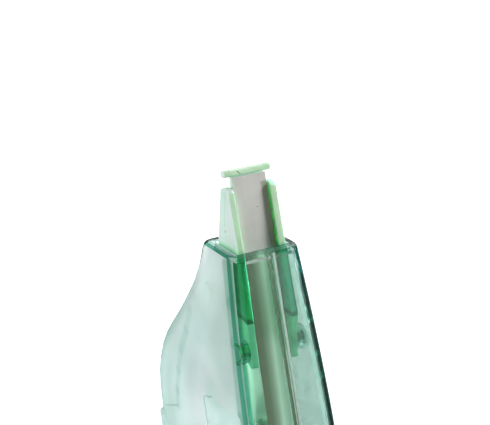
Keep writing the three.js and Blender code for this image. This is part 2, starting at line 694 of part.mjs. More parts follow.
// A wavy ring between the sleeve and the spool: it grips both and slips when the tape is pulled
function clutchSpring() {
  const inner = sleeveRadius + fit;
  const swing = clutchRoom - 2 * fit - clutchThickness;
  const wave = (offset, direction) => Array.from({ length: springSteps }, (_, i) => {
    const turn = direction * 2 * Math.PI * i / springSteps;
    const radius = inner + offset + swing * (1 + Math.cos(springLobes * turn)) / 2;
    return new THREE.Vector2(supplyY + radius * Math.cos(turn), supplyZ + radius * Math.sin(turn));
  });
  const shape = new THREE.Shape(wave(clutchThickness, 1));
  shape.holes.push(new THREE.Path(wave(0, -1)));
  return slab(shape, -spoolHalf + fit, spoolHalf - fit);
}

function takeUpReel() {
  const drum = ring(takeUpY, takeUpZ, takeUpCoreRadius, takeUpCoreRadius - drumWall,
    -spoolHalf, spoolHalf + join);
  const flange = ring(takeUpY, takeUpZ, takeUpFlangeRadius, reelBore, spoolHalf, flangeSide);
  const pinion = slab(
    gearShape(takeUpY, takeUpZ, pinionTeeth, meshAngle + Math.PI + Math.PI / pinionTeeth, reelBore),
    flangeSide - join, gearRight);
  const sleeve = ring(takeUpY, takeUpZ, reelSleeve, reelBore, -flangeSide, gearRight);
  return union([drum, flange, pinion, sleeve]);
}

function feedRoller() {
  const bore = feedRollerPin + fit;
  const barrel = ring(feedRollerY, feedRollerZ, feedRollerRadius, bore, -rollerHalf, rollerHalf);
  const rims = [-1, 1].map(side => {
    const [x0, x1] = [side * spoolHalf, side * rollerHalf].sort((a, b) => a - b);
    return ring(feedRollerY, feedRollerZ, feedRollerRadius + rollerRim, bore, x0, x1);
  });
  return union([barrel, ...rims]);
}

// Looks
const plastic = (color, roughness, opacity = 1) =>
  new THREE.MeshStandardMaterial({ color, roughness, opacity, transparent: opacity < 1 });
const clearTeal = plastic(0x9fcfc0, 0.2, 0.35);
const mint = plastic(0xa8e6bd, 0.4);
const paleGreen = plastic(0x92d6ab, 0.45);
const white = plastic(0xc6c4bd, 0.6);
const rolled = plastic(0xe8e6dc, 0.6);
const clearFilm = plastic(0xe6efe8, 0.15, 0.4);
const natural = plastic(0xe3ece6, 0.4);
const darkFelt = plastic(0x6a7a72, 0.9);

// The halves part at the middle plane. A half is cut out by a block that takes in all of the case.
const half = (x0, x1) => block(x0, x1, frontMostY - wall, backMostY + wall, -wall, shoulderHeight + wall);
const leftHalf = half(-bodyHalf - wall, -seamGap / 2);
const rightHalf = half(seamGap / 2, bodyHalf + wall);
const leftCase = shell.intersect(leftHalf).subtract(recess).add(leftPosts().intersect(outerBody));
const rightCase = shell.intersect(rightHalf).add(rightPosts().intersect(outerBody));

// Plain rings of the reels
const retainer = ring(supplyY, supplyZ, spoolRadius - retainerInset, sleeveRadius + rollGap,
  sleeveLeft, -flangeSide - fit);
const washer = ring(supplyY, supplyZ, spoolRadius, sleeveRadius + fit,
  spoolHalf + fit, spoolHalf + fit + washerThickness);
const supplyRoll = ring(supplyY, supplyZ, supplyRollRadius, spoolRadius + rollGap, -halfTape, halfTape);
const takeUpFlange = ring(takeUpY, takeUpZ, takeUpFlangeRadius, reelSleeve + rollGap,
  -flangeSide, -spoolHalf - join);
const takeUpRoll = ring(takeUpY, takeUpZ, takeUpRollRadius, takeUpCoreRadius + rollGap,
  -halfTape, halfTape);
const returnRoller = ring(returnRollerY, returnRollerZ, returnRollerRadius, returnRollerPin + fit,
  -spoolHalf, spoolHalf);

const pieces = [
  ['left_case', leftCase, clearTeal],
  ['right_case', rightCase, clearTeal],
  ['head', head(), mint],
  ['feed_tape', feedTape(), white],
  ['backing_film', backingFilm(), clearFilm],
  ['supply_gear', supplyGear(), paleGreen],
  ['clutch_spring', clutchSpring(), natural],
  ['supply_retainer', retainer, natural],
  ['supply_spool', supplySpool(), mint],
  ['friction_washer', washer, darkFelt],
  ['supply_roll', supplyRoll, rolled],
  ['take_up_reel', takeUpReel(), paleGreen],
  ['take_up_flange', takeUpFlange, paleGreen],
  ['take_up_roll', takeUpRoll, clearFilm],
  ['feed_roller', feedRoller(), natural],
  ['return_roller', returnRoller, natural],
  ['side_label', label, clearFilm],
];

const part = new THREE.Group();
const object = new THREE.Group();
for (const [name, solid, material] of pieces) {
  const mesh = new THREE.Mesh(toGeometry(solid), material);
  mesh.name = name;
  object.add(mesh);
}
object.position.y = -new THREE.Box3().setFromObject(object).getCenter(new THREE.Vector3()).y;
part.add(object);
part.updateMatrixWorld(true);

export default part;
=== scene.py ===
import logging
import math
from collections.abc import Callable
from dataclasses import dataclass, replace
from enum import Enum, IntEnum

import bpy
from mathutils import Matrix, Vector


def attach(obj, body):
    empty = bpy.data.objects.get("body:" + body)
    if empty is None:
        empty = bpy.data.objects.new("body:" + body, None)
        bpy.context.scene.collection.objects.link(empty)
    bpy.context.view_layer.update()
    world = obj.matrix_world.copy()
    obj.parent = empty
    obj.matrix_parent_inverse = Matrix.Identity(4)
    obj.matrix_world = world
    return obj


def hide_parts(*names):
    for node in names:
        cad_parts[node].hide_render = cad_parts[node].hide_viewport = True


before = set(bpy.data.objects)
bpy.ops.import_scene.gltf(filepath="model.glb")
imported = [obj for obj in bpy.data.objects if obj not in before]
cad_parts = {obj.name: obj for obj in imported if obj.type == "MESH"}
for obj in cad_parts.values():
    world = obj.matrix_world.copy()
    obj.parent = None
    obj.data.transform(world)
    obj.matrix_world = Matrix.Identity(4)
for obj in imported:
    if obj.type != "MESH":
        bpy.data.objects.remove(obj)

log = logging.getLogger("tape_dispenser")
MM = 0.001
Tone = tuple[int, int, int]
Place = tuple[float, float, float]
Span = tuple[float, float]
Piece = bpy.types.Object
Face = bpy.types.MeshPolygon
Node = bpy.types.Node
Socket = bpy.types.NodeSocket
Tree = bpy.types.NodeTree


class Body(Enum):
    """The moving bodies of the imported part."""

    HOUSING = "housing"
    SUPPLY = "supply_drive"
    SPOOL = "spool"
    TAKE_UP = "take_up"
    FEED = "feed_wheel"
    RETURN = "return_wheel"


class CasePart(IntEnum):
    """The kinds of face on a case half, in the order of its finishes."""

    CLEAR = 0
    SIDE = 1
    EDGE = 2
    POST = 3
    ROOF = 4
    SEAM = 5


class HeadPart(IntEnum):
    """The kinds of face on the head, in the order of its finishes."""

    PLAIN = 0
    # front faces, with a greyer copy of the mint as painted shade
    FRONT = 1
    # the cheeks' inner faces, with a greener copy of the mint as painted light
    INNER = 2
    PIN = 3


def linear(red: int, green: int, blue: int) -> tuple[float, float, float, float]:
    """Turns a colour as seen on a screen into the scene's linear colour.

    Args:
        red: Red from 0 to 255.
        green: Green from 0 to 255.
        blue: Blue from 0 to 255.

    Returns:
        The linear colour with an alpha of 1.
    """
    shares = [c / 255 for c in (red, green, blue)]
    plain = [s / 12.92 if s <= 0.04045 else ((s + 0.055) / 1.055) ** 2.4 for s in shares]
    return (*plain, 1.0)


# Shader building blocks


@dataclass
class Sheet:
    """A node tree under construction, with short calls for the nodes that the finishes share."""

    tree: Tree

    @classmethod
    def blank(cls, owner: bpy.types.ID) -> "Sheet":
        """Empties the node tree of a material or a world.

        Args:
            owner: The material or the world.

        Returns:
            The sheet to build on.
        """
        owner.use_nodes = True
        owner.node_tree.nodes.clear()
        return cls(owner.node_tree)

    def add(self, kind: str, inputs: dict[str | int, object] | None = None, **values: object) -> Node:
        """Adds a node, sets its properties and feeds its inputs.

        Args:
            kind: The shader node's type, such as "Math".
            inputs: A socket or a plain value by the input's name or number.
            values: Properties of the node by name.

        Returns:
            The new node.
        """
        node = self.tree.nodes.new("ShaderNode" + kind)
        for name, value in values.items():
            setattr(node, name, value)
        for name, value in (inputs or {}).items():
            self.feed(node.inputs[name], value)
        return node

    def join(self, source: Socket, target: Socket) -> None:
        """Links two sockets."""
        self.tree.links.new(source, target)

    def feed(self, socket: Socket, value: object) -> None:
        """Links a socket's source to it, or sets its plain value.

        Args:
            socket: The input to feed.
            value: The socket that feeds it, or its plain value.
        """
        if isinstance(value, Socket):
            self.join(value, socket)
        else:
            socket.default_value = value

    def math(self, operation: str, first: object, second: object = 0.5) -> Socket:
        """Does a Math node's operation on two sockets or numbers, and returns its value."""
        return self.add("Math", {0: first, 1: second}, operation=operation).outputs[0]

    def clamp(self, value: Socket) -> Socket:
        """Holds a value between 0 and 1."""
        return self.add("Clamp", {"Value": value}).outputs[0]

    def blend(self, factor: object, first: object, second: object) -> Socket:
        """Mixes two colours by how much of the second one shows, each a socket or a value."""
        # a Mix node's colours are its inputs 6 and 7 and its output 2
        return self.add("Mix", {0: factor, 6: first, 7: second}, data_type="RGBA").outputs[2]

    def vector(self, operation: str, first: object, second: object = (0, 0, 0)) -> Socket:
        """Does a Vector Math node's operation, and returns its vector, or the number that it gives."""
        node = self.add("VectorMath", {0: first, 1: second}, operation=operation)
        return node.outputs["Value" if operation in ("DOT_PRODUCT", "LENGTH") else "Vector"]

    def ramp(self, value: Socket, low: float, high: float, start: float = 0.0, end: float = 1.0) -> Socket:
        """Maps a value from low..high to start..end, clamped and eased."""
        ends = {"From Min": low, "From Max": high, "To Min": start, "To Max": end}
        return self.add("MapRange", {"Value": value, **ends}, interpolation_type="SMOOTHSTEP").outputs[0]

    def place(self) -> Socket:
        """Returns the Object coordinates."""
        return self.add("TexCoord").outputs["Object"]

    def axes(self, vector: Socket) -> Node:
        """Splits a vector into x, y and z outputs."""
        return self.add("SeparateXYZ", {0: vector})

    def noise(self, scale: float, detail: float = 2.0, stretch: Place = (1, 1, 1)) -> Socket:
        """Adds a noise pattern on Object coordinates.

        Args:
            scale: Repeats per metre.
            detail: Octaves of finer noise.
            stretch: How much denser the pattern runs along each axis.

        Returns:
            The noise value from 0 to 1.
        """
        mapping = self.add("Mapping", {"Vector": self.place(), "Scale": stretch})
        node = self.add("TexNoise", {"Vector": mapping.outputs[0], "Scale": scale, "Detail": detail})
        return node.outputs["Fac"]


class Effects:
    """Node groups that several finishes use. Each is built once."""

    BARE_SHARE = 0.72  # share of the cells that hold no speck
    SCUFF_CONTRAST = 9.0
    _built: dict[str, Tree] = {}

    @classmethod
    def _group(cls, name: str, inputs: dict[str, object], output: str) -> tuple | None:
        """Starts a node group with named inputs and one value output.

        Args:
            name: The group's name.
            inputs: Default number or vector by input name.
            output: The output's name.

        Returns:
            The sheet to build on, what the group is given and the socket that it fills, or None where it
            is built already.
        """
        if name in cls._built:
            return None
        tree = cls._built[name] = bpy.data.node_groups.new(name, "ShaderNodeTree")
        for label, value in inputs.items():
            kind = "NodeSocketVector" if isinstance(value, tuple) else "NodeSocketFloat"
            tree.interface.new_socket(label, in_out="INPUT", socket_type=kind).default_value = value
        tree.interface.new_socket(output, in_out="OUTPUT", socket_type="NodeSocketFloat")
        given, filled = (tree.nodes.new("NodeGroup" + end) for end in ("Input", "Output"))
        return Sheet(tree), given.outputs, filled.inputs[output]

    @classmethod
    def grain(cls) -> Tree:
        """Moulded plastic's faint grain and flow waves, as a height from 0 to 1.

        Returns:
            The node group.
        """
        started = cls._group("moulded_grain", {
            "Fine Scale": 9000.0, "Wave Scale": 260.0, "Wave Share": 0.6}, "Height")
        if started:
            sheet, given, height = started
            fine, wave = (sheet.add("TexNoise", {
                "Vector": sheet.place(), "Scale": given[name], "Detail": detail}).outputs["Fac"]
                for name, detail in (("Fine Scale", 3.0), ("Wave Scale", 1.0)))
            wave = sheet.math("MULTIPLY", wave, given["Wave Share"])
            fine = sheet.math("MULTIPLY", fine, sheet.math("SUBTRACT", 1.0, given["Wave Share"]))
            sheet.join(sheet.math("ADD", wave, fine), height)
        return cls._built["moulded_grain"]

    @classmethod
    def specks(cls) -> Tree:
        """Sparse specks of dust, as a mask from 0 to 1.

        Returns:
            The node group.
        """
        started = cls._group("dust_specks", {"Scale": 900.0, "Spread": 0.1}, "Mask")
        if started:
            sheet, given, mask = started
            cells = sheet.add("TexVoronoi", {"Vector": sheet.place(), "Scale": given["Scale"]}, feature="F1")
            near = sheet.math("LESS_THAN", cells.outputs["Distance"], given["Spread"])
            pick = sheet.add("SeparateColor", {0: cells.outputs["Color"]})
            rare = sheet.math("GREATER_THAN", pick.outputs[0], cls.BARE_SHARE)
            sheet.join(sheet.math("MULTIPLY", near, rare), mask)
        return cls._built["dust_specks"]

    @classmethod
    def scuffs(cls) -> Tree:
        """Fine handling scratches, as a mask from 0 to 1.

        Returns:
            The node group.
        """
        started = cls._group("handling_scuffs", {"Scale": 500.0, "Threshold": 0.62}, "Mask")
        if started:
            sheet, given, mask = started
            stretch = sheet.add("Mapping", {
                "Vector": sheet.place(), "Scale": (1.0, 6.0, 0.25), "Rotation": (0.35, 0.0, 0.0)})
            lines = sheet.add("TexNoise", {
                "Vector": stretch.outputs[0], "Scale": given["Scale"], "Detail": 4.0})
            over = sheet.math("SUBTRACT", lines.outputs["Fac"], given["Threshold"])
            sheet.join(sheet.clamp(sheet.math("MULTIPLY", over, cls.SCUFF_CONTRAST)), mask)
        return cls._built["handling_scuffs"]

    @classmethod
    def stroke(cls) -> Tree:
        """A mark along a line between two places, as a mask from 0 to 1.

        Returns:
            The node group.
        """
        nowhere = (0.0, 0.0, 0.0)
        started = cls._group("short_mark", {
            "Width": 0.0002, "Blur": 0.00005, "Start": nowhere, "End": nowhere}, "Mask")
        if started:
            sheet, given, mask = started
            reach = sheet.vector("SUBTRACT", sheet.place(), given["Start"])
            line = sheet.vector("SUBTRACT", given["End"], given["Start"])
            length = sheet.vector("DOT_PRODUCT", line, line)
            along = sheet.clamp(sheet.math("DIVIDE", sheet.vector("DOT_PRODUCT", reach, line), length))
            foot = sheet.add("VectorMath", {0: line, "Scale": along}, operation="SCALE")
            away = sheet.vector("LENGTH", sheet.vector("SUBTRACT", reach, foot.outputs[0]))
            inside = sheet.math("SUBTRACT", given["Width"], away)
            sheet.join(sheet.clamp(sheet.math("DIVIDE", inside, given["Blur"])), mask)
        return cls._built["short_mark"]


def place_group(sheet: Sheet, tree: Tree, **values: object) -> Socket:
    """Places a node group in a material, with underscores for the spaces in its inputs' names."""
    inputs = {name.replace("_", " ").title(): value for name, value in values.items()}
    return sheet.add("Group", inputs, node_tree=tree).outputs[0]


# Finishes


@dataclass(frozen=True)
class Mark:
    """A mark, line or soft patch of another tone on a surface.

    Attributes:
        start: One end, in millimetres.
        end: The other end.
        width: Half its width.
        tone: Its colour on a screen.
        strength: How strongly it shows.
    """

    start: Place
    end: Place
    width: float
    tone: Tone
    strength: float

    def mask(self, sheet: Sheet) -> Socket:
        """Builds where the mark shows.

        Args:
            sheet: The material's sheet.

        Returns:
            A mask from 0 to the mark's strength.
        """
        start, end = (tuple(c * MM for c in place) for place in (self.start, self.end))
        shape = place_group(sheet, Effects.stroke(), width=self.width * MM, blur=self.width * MM / 2,
                            start=start, end=end)
        return sheet.math("MULTIPLY", shape, self.strength)


def trail(places: tuple[Place, ...], width: float, tone: Tone, strength: float) -> tuple[Mark, ...]:
    """Draws a bent line as one mark from each place to the next."""
    return tuple(Mark(start, end, width, tone, strength) for start, end in zip(places, places[1:]))


@dataclass(frozen=True, kw_only=True)
class Finish:
    """A procedural material: a Principled shader with colour, roughness and bump from nodes.

    Attributes:
        name: The material's name.
        slot: Name of its material slot; not used by this script.
        tone: The main colour on a screen.
        tone_low: The colour that the mottling drifts to.
        rough: Roughness where the surface is clean.
        rough_worn: Roughness where it is scuffed.
        bump: Depth of the grain in millimetres.
        fine: Scale of the fine grain.
        wave: Scale of the flow waves.
        wave_share: Their share of the height.
        scuff: Scale of the scuffs.
        scuff_from: Value of their noise above which they show.
        mottle: Scale of the drift in colour.
        drift: Between which values of its noise the second colour comes in.
        specular: The Principled shader's specular level.
        clear: Transmission weight.
        ior: Index of refraction.
        shade_tint: Colour of light that passes to what is behind, or None where lamps are stopped.
        subsurface: Subsurface weight.
        scatter: Subsurface radius per channel in millimetres.
        dust: How strongly dust shows.
        dust_scale: Scale of its specks.
        dust_spread: Reach of a speck, as a share of its cell.
        dust_tone: The dust's colour.
        marks: Marks on the surface, the later ones over the earlier ones.
    """

    name: str
    slot: str
    tone: Tone
    tone_low: Tone
    rough: float = 0.4
    rough_worn: float = 0.6
    bump: float = 0.01
    fine: float = 9000.0
    wave: float = 260.0
    wave_share: float = 0.6
    scuff: float = 500.0
    scuff_from: float = 0.62
    mottle: float = 180.0
    drift: Span = (0.35, 0.7)
    specular: float = 0.5
    clear: float = 0.0
    ior: float = 1.5
    shade_tint: Tone | None = None
    subsurface: float = 0.0
    scatter: Place = (1.0, 1.0, 1.0)
    dust: float = 0.0
    dust_scale: float = 900.0
    dust_spread: float = 0.08
    dust_tone: Tone = (70, 74, 66)
    marks: tuple[Mark, ...] = ()

    def colour(self, sheet: Sheet) -> Socket:
        """Builds the colour: the main tone, drifting slightly to the second one, with dust and marks.

        Args:
            sheet: The material's sheet.

        Returns:
            The colour.
        """
        drift = sheet.ramp(sheet.noise(self.mottle, detail=3.0), *self.drift)
        tone = sheet.blend(drift, linear(*self.tone), linear(*self.tone_low))
        if self.dust:
            mask = place_group(sheet, Effects.specks(), scale=self.dust_scale, spread=self.dust_spread)
            tone = sheet.blend(sheet.math("MULTIPLY", mask, self.dust), tone, linear(*self.dust_tone))
        for mark in self.marks:
            tone = sheet.blend(mark.mask(sheet), tone, linear(*mark.tone))
        return tone

    def roughness(self, sheet: Sheet) -> Socket:
        """Builds the roughness: clean, with scuffs from handling."""
        scuffed = place_group(sheet, Effects.scuffs(), scale=self.scuff, threshold=self.scuff_from)
        return sheet.ramp(scuffed, 0.0, 1.0, self.rough, self.rough_worn)

    def height(self, sheet: Sheet) -> Socket:
        """Builds the height that the bump reads."""
        return place_group(
            sheet, Effects.grain(), fine_scale=self.fine, wave_scale=self.wave, wave_share=self.wave_share)

    def passed(self, sheet: Sheet) -> object:
        """Returns the colour of the light that passes to what is behind."""
        return linear(*self.shade_tint)

    def build(self) -> bpy.types.Material:
        """Builds the material where it isn't built already.

        Returns:
            The material.
        """
        if self.name in bpy.data.materials:
            return bpy.data.materials[self.name]
        material = bpy.data.materials.new(self.name)
        sheet = Sheet.blank(material)
        bump = sheet.add("Bump", {
            "Strength": 1.0, "Distance": self.bump * MM, "Height": self.height(sheet)})
        surface = sheet.add("BsdfPrincipled", {
            "Base Color": self.colour(sheet), "Roughness": self.roughness(sheet), "Normal": bump.outputs[0],
            "IOR": self.ior, "Specular IOR Level": self.specular, "Transmission Weight": self.clear,
            "Subsurface Weight": self.subsurface, "Subsurface Radius": self.scatter,
            "Subsurface Scale": MM}).outputs[0]
        if self.shade_tint:
            shaded = sheet.add("LightPath").outputs["Is Shadow Ray"]
            through = sheet.add("BsdfTransparent", {0: self.passed(sheet)})
            surface = sheet.add("MixShader", {0: shaded, 1: surface, 2: through.outputs[0]}).outputs[0]
        sheet.add("OutputMaterial", {"Surface": surface})
        return material


@dataclass(frozen=True, kw_only=True)
class ClearPlastic(Finish):
    """The case's clear teal plastic."""

    slot: str = "clear_teal"
    tone: Tone = (224, 239, 235)
    tone_low: Tone = (219, 236, 231)
    rough: float = 0.03
    rough_worn: float = 0.1
    fine: float = 5200.0
    clear: float = 1.0
    ior: float = 1.15
    shade_tint: Tone = (239, 247, 245)


@dataclass(frozen=True, kw_only=True)
class SlantPlastic(ClearPlastic):
    """Clear plastic whose wall guides light, so that its tint gets deep where it is seen at a slant.

    Attributes:
        deep: The colour at a slant.
        rim: The colour at the very outline.
        slant: Between which of Layer Weight's facing values the deep colour comes in.
        outline: Between which the outline's colour comes in.
    """

    deep: Tone = (34, 116, 92)
    rim: Tone = (0, 30, 26)
    slant: Span = (0.34, 0.46)
    outline: Span = (0.56, 0.7)

    def colour(self, sheet: Sheet) -> Socket:
        """Builds the colour, and deepens it at a slant.

        Args:
            sheet: The material's sheet.

        Returns:
            The colour.
        """
        facing = sheet.add("LayerWeight", {"Blend": 0.5}).outputs["Facing"]
        deeper = sheet.blend(sheet.ramp(facing, *self.slant), super().colour(sheet), linear(*self.deep))
        return sheet.blend(sheet.ramp(facing, *self.outline), deeper, linear(*self.rim))


@dataclass(frozen=True, kw_only=True)
class HeadPlastic(Finish):
    """The head's translucent mint plastic, deeper in colour where it is thick and lies in the case.

    Attributes:
        deep: The colour of the left half of the base inside the case.
        deep_right: The colour of its right half, which is seen through two walls.
        side_blur: Width over which that colour comes in, in millimetres.
        deep_from: Height where the base's colour is full, in millimetres.
        deep_to: Height where the tip's colour is full.
        tail: The lighter colour of the base's thin lower end.
        tail_top: Height where the lower end starts.
        tail_blur: Height over which its colour comes in.
        strip: The dark line above it.
        strip_up: How far above the lower end the line's middle lies.
        strip_reach: From where to where the line fades out, from its middle.
        strip_share: How strongly it shows.
        base_tint: Colour of the light that the base lets pass.
        outline: The dark front edge of the base's right plate.
    """

    slot: str = "mint"
    rough: float = 0.34
    rough_worn: float = 0.5
    bump: float = 0.006
    specular: float = 0.2
    shade_tint: Tone | None = (44, 66, 38)
    deep: Tone = (36, 150, 92)
    deep_right: Tone = (64, 186, 146)
    side_blur: float = 1.0
    deep_from: float = 65.2
    deep_to: float = 66.6
    tail: Tone = (122, 200, 160)
    tail_top: float = 56.0
    tail_blur: float = 0.3
    strip: Tone = (8, 84, 46)
    strip_up: float = 0.2
    strip_reach: Span = (0.2, 0.5)
    strip_share: float = 0.8
    base_tint: Tone = (206, 228, 212)
    outline: Mark = Mark((3.65, -12.95, 64.8), (3.65, -14.98, 56.3), 0.38, (16, 80, 66), 0.85)

    def _tip(self, sheet: Sheet, rise: Socket) -> Socket:
        """Returns 0 in the base and 1 at the tip."""
        return sheet.ramp(rise, self.deep_from * MM, self.deep_to * MM)

    def colour(self, sheet: Sheet) -> Socket:
        """Builds the colour: the pale tip runs into the deep base, and that into its lighter lower end.

        Args:
            sheet: The material's sheet.

        Returns:
            The colour.
        """
        across, _, rise = sheet.axes(sheet.place()).outputs
        low = sheet.ramp(rise, self.tail_top * MM, (self.tail_top - self.tail_blur) * MM)
        away = sheet.math("ABSOLUTE", sheet.math("SUBTRACT", rise, (self.tail_top + self.strip_up) * MM))
        line = sheet.ramp(away, self.strip_reach[1] * MM, self.strip_reach[0] * MM, 0.0, self.strip_share)
        aside = sheet.ramp(across, 0.0, self.side_blur * MM)
        deep = sheet.blend(aside, linear(*self.deep), linear(*self.deep_right))
        base = sheet.blend(low, deep, linear(*self.tail))
        base = sheet.blend(line, base, linear(*self.strip))
        base = sheet.blend(self.outline.mask(sheet), base, linear(*self.outline.tone))
        return sheet.blend(self._tip(sheet, rise), base, super().colour(sheet))

    def passed(self, sheet: Sheet) -> object:
        """Returns the colour of the light that passes, which is paler through the base than the tip."""
        rise = sheet.axes(sheet.place()).outputs[2]
        return sheet.blend(self._tip(sheet, rise), linear(*self.base_tint), linear(*self.shade_tint))


@dataclass(frozen=True, kw_only=True)
class TapeFinish(Finish):
    """The matt correction tape on its film, with a painted shadow beside the right cheek and painted shade
    across it where it runs inside the case.

    Attributes:
        streak: Scale of the faint streaks along the tape.
        streak_stretch: How dense they run along each axis.
        streak_range: Between which values of their noise they come in.
        streak_share: How strongly they show.
        mouth: Height where the tape enters the case, in millimetres.
        half: Half its width.
        blur: Width over which a tone comes in.
        cheek_shadow: Tone of the painted shadow that the right cheek casts on the tape beside it.
        cheek_shadow_from: Where that painted shadow starts across the tape.
        cheek_shadow_top: Height where it ends, and over how much it fades.
        cheek_shadow_share: How strongly it shows.
        shade_bands: Painted shade across the tape inside the case, dark at the left, lightest near the
            middle and dark again at the right edge, each tone with its place from 0 at the left edge to 1.
    """

    streak: float = 1400.0
    streak_stretch: Place = (1.0, 0.02, 0.02)
    streak_range: Span = (0.3, 0.8)
    streak_share: float = 0.22
    mouth: float = 65.3
    half: float = 2.5
    blur: float = 0.5
    # the painted shadow that the right cheek casts on the tape
    cheek_shadow: Tone = (150, 156, 134)
    cheek_shadow_from: float = 1.35
    cheek_shadow_top: Span = (74.6, 0.4)
    cheek_shadow_share: float = 0.85
    # painted shade across the tape inside the case
    shade_bands: tuple[tuple[float, Tone], ...] = (
        (0.0, (122, 117, 97)), (0.18, (131, 137, 111)), (0.34, (172, 182, 160)), (0.5, (234, 246, 225)),
        (0.6, (210, 224, 203)), (0.7, (184, 208, 184)), (0.9, (184, 210, 186)), (0.95, (108, 108, 88)))

    def _shade_across(self, sheet: Sheet, across: Socket) -> Socket:
        """Builds the painted shade across the tape inside the case.

        Args:
            sheet: The material's sheet.
            across: The place across the tape.

        Returns:
            The colour.
        """
        share = sheet.add("MapRange", {
            "Value": across, "From Min": -self.half * MM, "From Max": self.half * MM}).outputs[0]
        ramp = sheet.add("ValToRGB", {"Fac": share})
        stops = ramp.color_ramp.elements
        stops.remove(stops[1])
        stops[0].position, stops[0].color = self.shade_bands[0][0], linear(*self.shade_bands[0][1])
        for place, tone in self.shade_bands[1:]:
            stops.new(place).color = linear(*tone)
        return ramp.outputs[0]

    def colour(self, sheet: Sheet) -> Socket:
        """Builds the colour with faint streaks, the painted shadow beside the right cheek, and the painted
        shade across the tape inside the case.

        Args:
            sheet: The material's sheet.

        Returns:
            The colour.
        """
        streak = sheet.noise(self.streak, stretch=self.streak_stretch)
        streak = sheet.ramp(streak, *self.streak_range, 0.0, self.streak_share)
        tone = sheet.blend(streak, super().colour(sheet), linear(*self.tone_low))
        across, _, rise = sheet.axes(sheet.place()).outputs
        # painted shadow of the right cheek along the tape's right edge, fading out near the cheek's top
        start, end = self.cheek_shadow_from * MM, (self.cheek_shadow_from + self.blur) * MM
        cheek_shadow = sheet.ramp(across, start, end, 0.0, self.cheek_shadow_share)
        below = sheet.ramp(rise, sum(self.cheek_shadow_top) * MM, self.cheek_shadow_top[0] * MM)
        tone = sheet.blend(sheet.math("MULTIPLY", cheek_shadow, below), tone, linear(*self.cheek_shadow))
        # inside the case the painted shade across the tape takes the place of the plain tone
        inside = sheet.ramp(rise, self.mouth * MM, (self.mouth - self.blur) * MM)
        return sheet.blend(inside, tone, self._shade_across(sheet, across))


LIGHT_PATCHES = (
    # soft light on the satin side, at its foot, its neck and its middle
    Mark((-6.9, 4.0, 31.0), (-6.9, -11.0, 34.0), 12.0, (244, 250, 252), 0.6),
    Mark((-5.2, -7.0, 65.0), (-5.5, -5.0, 60.0), 6.0, (244, 250, 251), 0.35),
    Mark((-6.8, -3.0, 38.5), (-6.6, -4.0, 43.5), 6.5, (244, 250, 252), 0.42))
CORNER_STRIP = trail((
    (-5.29, -11.7, 64.5), (-5.71, -12.85, 59.3), (-6.11, -13.85, 53.8), (-6.66, -15.4, 43.0),
    (-6.9, -16.6, 34.0)), 1.2, (100, 160, 140), 0.6)
# painted shade along the curve where the thumb rest starts to round off
THUMB_CURVE_SHADE = trail((
    (-6.13, 1.54, 53.4), (-6.37, 3.63, 49.35), (-6.59, 6.38, 44.89), (-6.75, 8.21, 40.62),
    (-6.87, 9.5, 36.45), (-6.93, 9.85, 33.6)), 1.1, (150, 188, 178), 0.36)
SIDE_LINES = (
    # the thumb rest's step, painted shade at the kink in the outline, and the recess's edge
    Mark((-6.99, 19.0, 29.3), (-6.94, 9.94, 33.47), 0.22, (120, 165, 152), 0.6),
    Mark((-6.14, 5.2, 53.31), (-6.26, 7.55, 51.34), 0.8, (120, 160, 150), 0.5),
    Mark((-6.75, -2.2, 40.55), (-6.7, -5.4, 41.9), 0.2, (130, 168, 158), 0.6))
# a painted highlight along the left inner edge of the neck's mouth, then darker lines along its front and
# right inner edges
ROOF_HIGHLIGHT_AND_LINES = (
    Mark((-4.25, -13.2, 66.0), (-4.25, -1.5, 66.0), 0.16, (252, 255, 253), 0.9),
    Mark((-4.1, -13.3, 66.0), (4.1, -13.3, 66.0), 0.16, (52, 84, 76), 0.85),
    Mark((4.25, -13.2, 66.0), (4.25, -3.0, 66.0), 0.16, (40, 80, 72), 0.8))
BAR_MARKS = (
    Mark((-1.7, -10.15, 76.94), (-1.15, -10.15, 76.27), 0.07, (70, 30, 24), 1.0),
    Mark((-0.95, -10.15, 76.26), (-0.86, -10.15, 76.18), 0.06, (70, 60, 50), 0.8),
    Mark((2.1, -10.15, 76.86), (2.16, -10.15, 76.82), 0.06, (90, 110, 80), 0.7))
CHEEK_MARKS = (
    Mark((-3.65, -9.07, 68.3), (-3.65, -9.07, 68.2), 0.2, (110, 168, 130), 0.8),
    Mark((-3.65, -10.12, 73.78), (-3.65, -8.94, 68.9), 0.09, (150, 206, 176), 0.5))
TAPE_MARKS = (
    Mark((0.38, -11.17, 71.55), (0.8, -11.18, 71.5), 0.05, (96, 92, 84), 0.8),
    Mark((2.0, -13.4, 48.0), (2.05, -13.5, 47.4), 0.07, (96, 70, 60), 0.5))


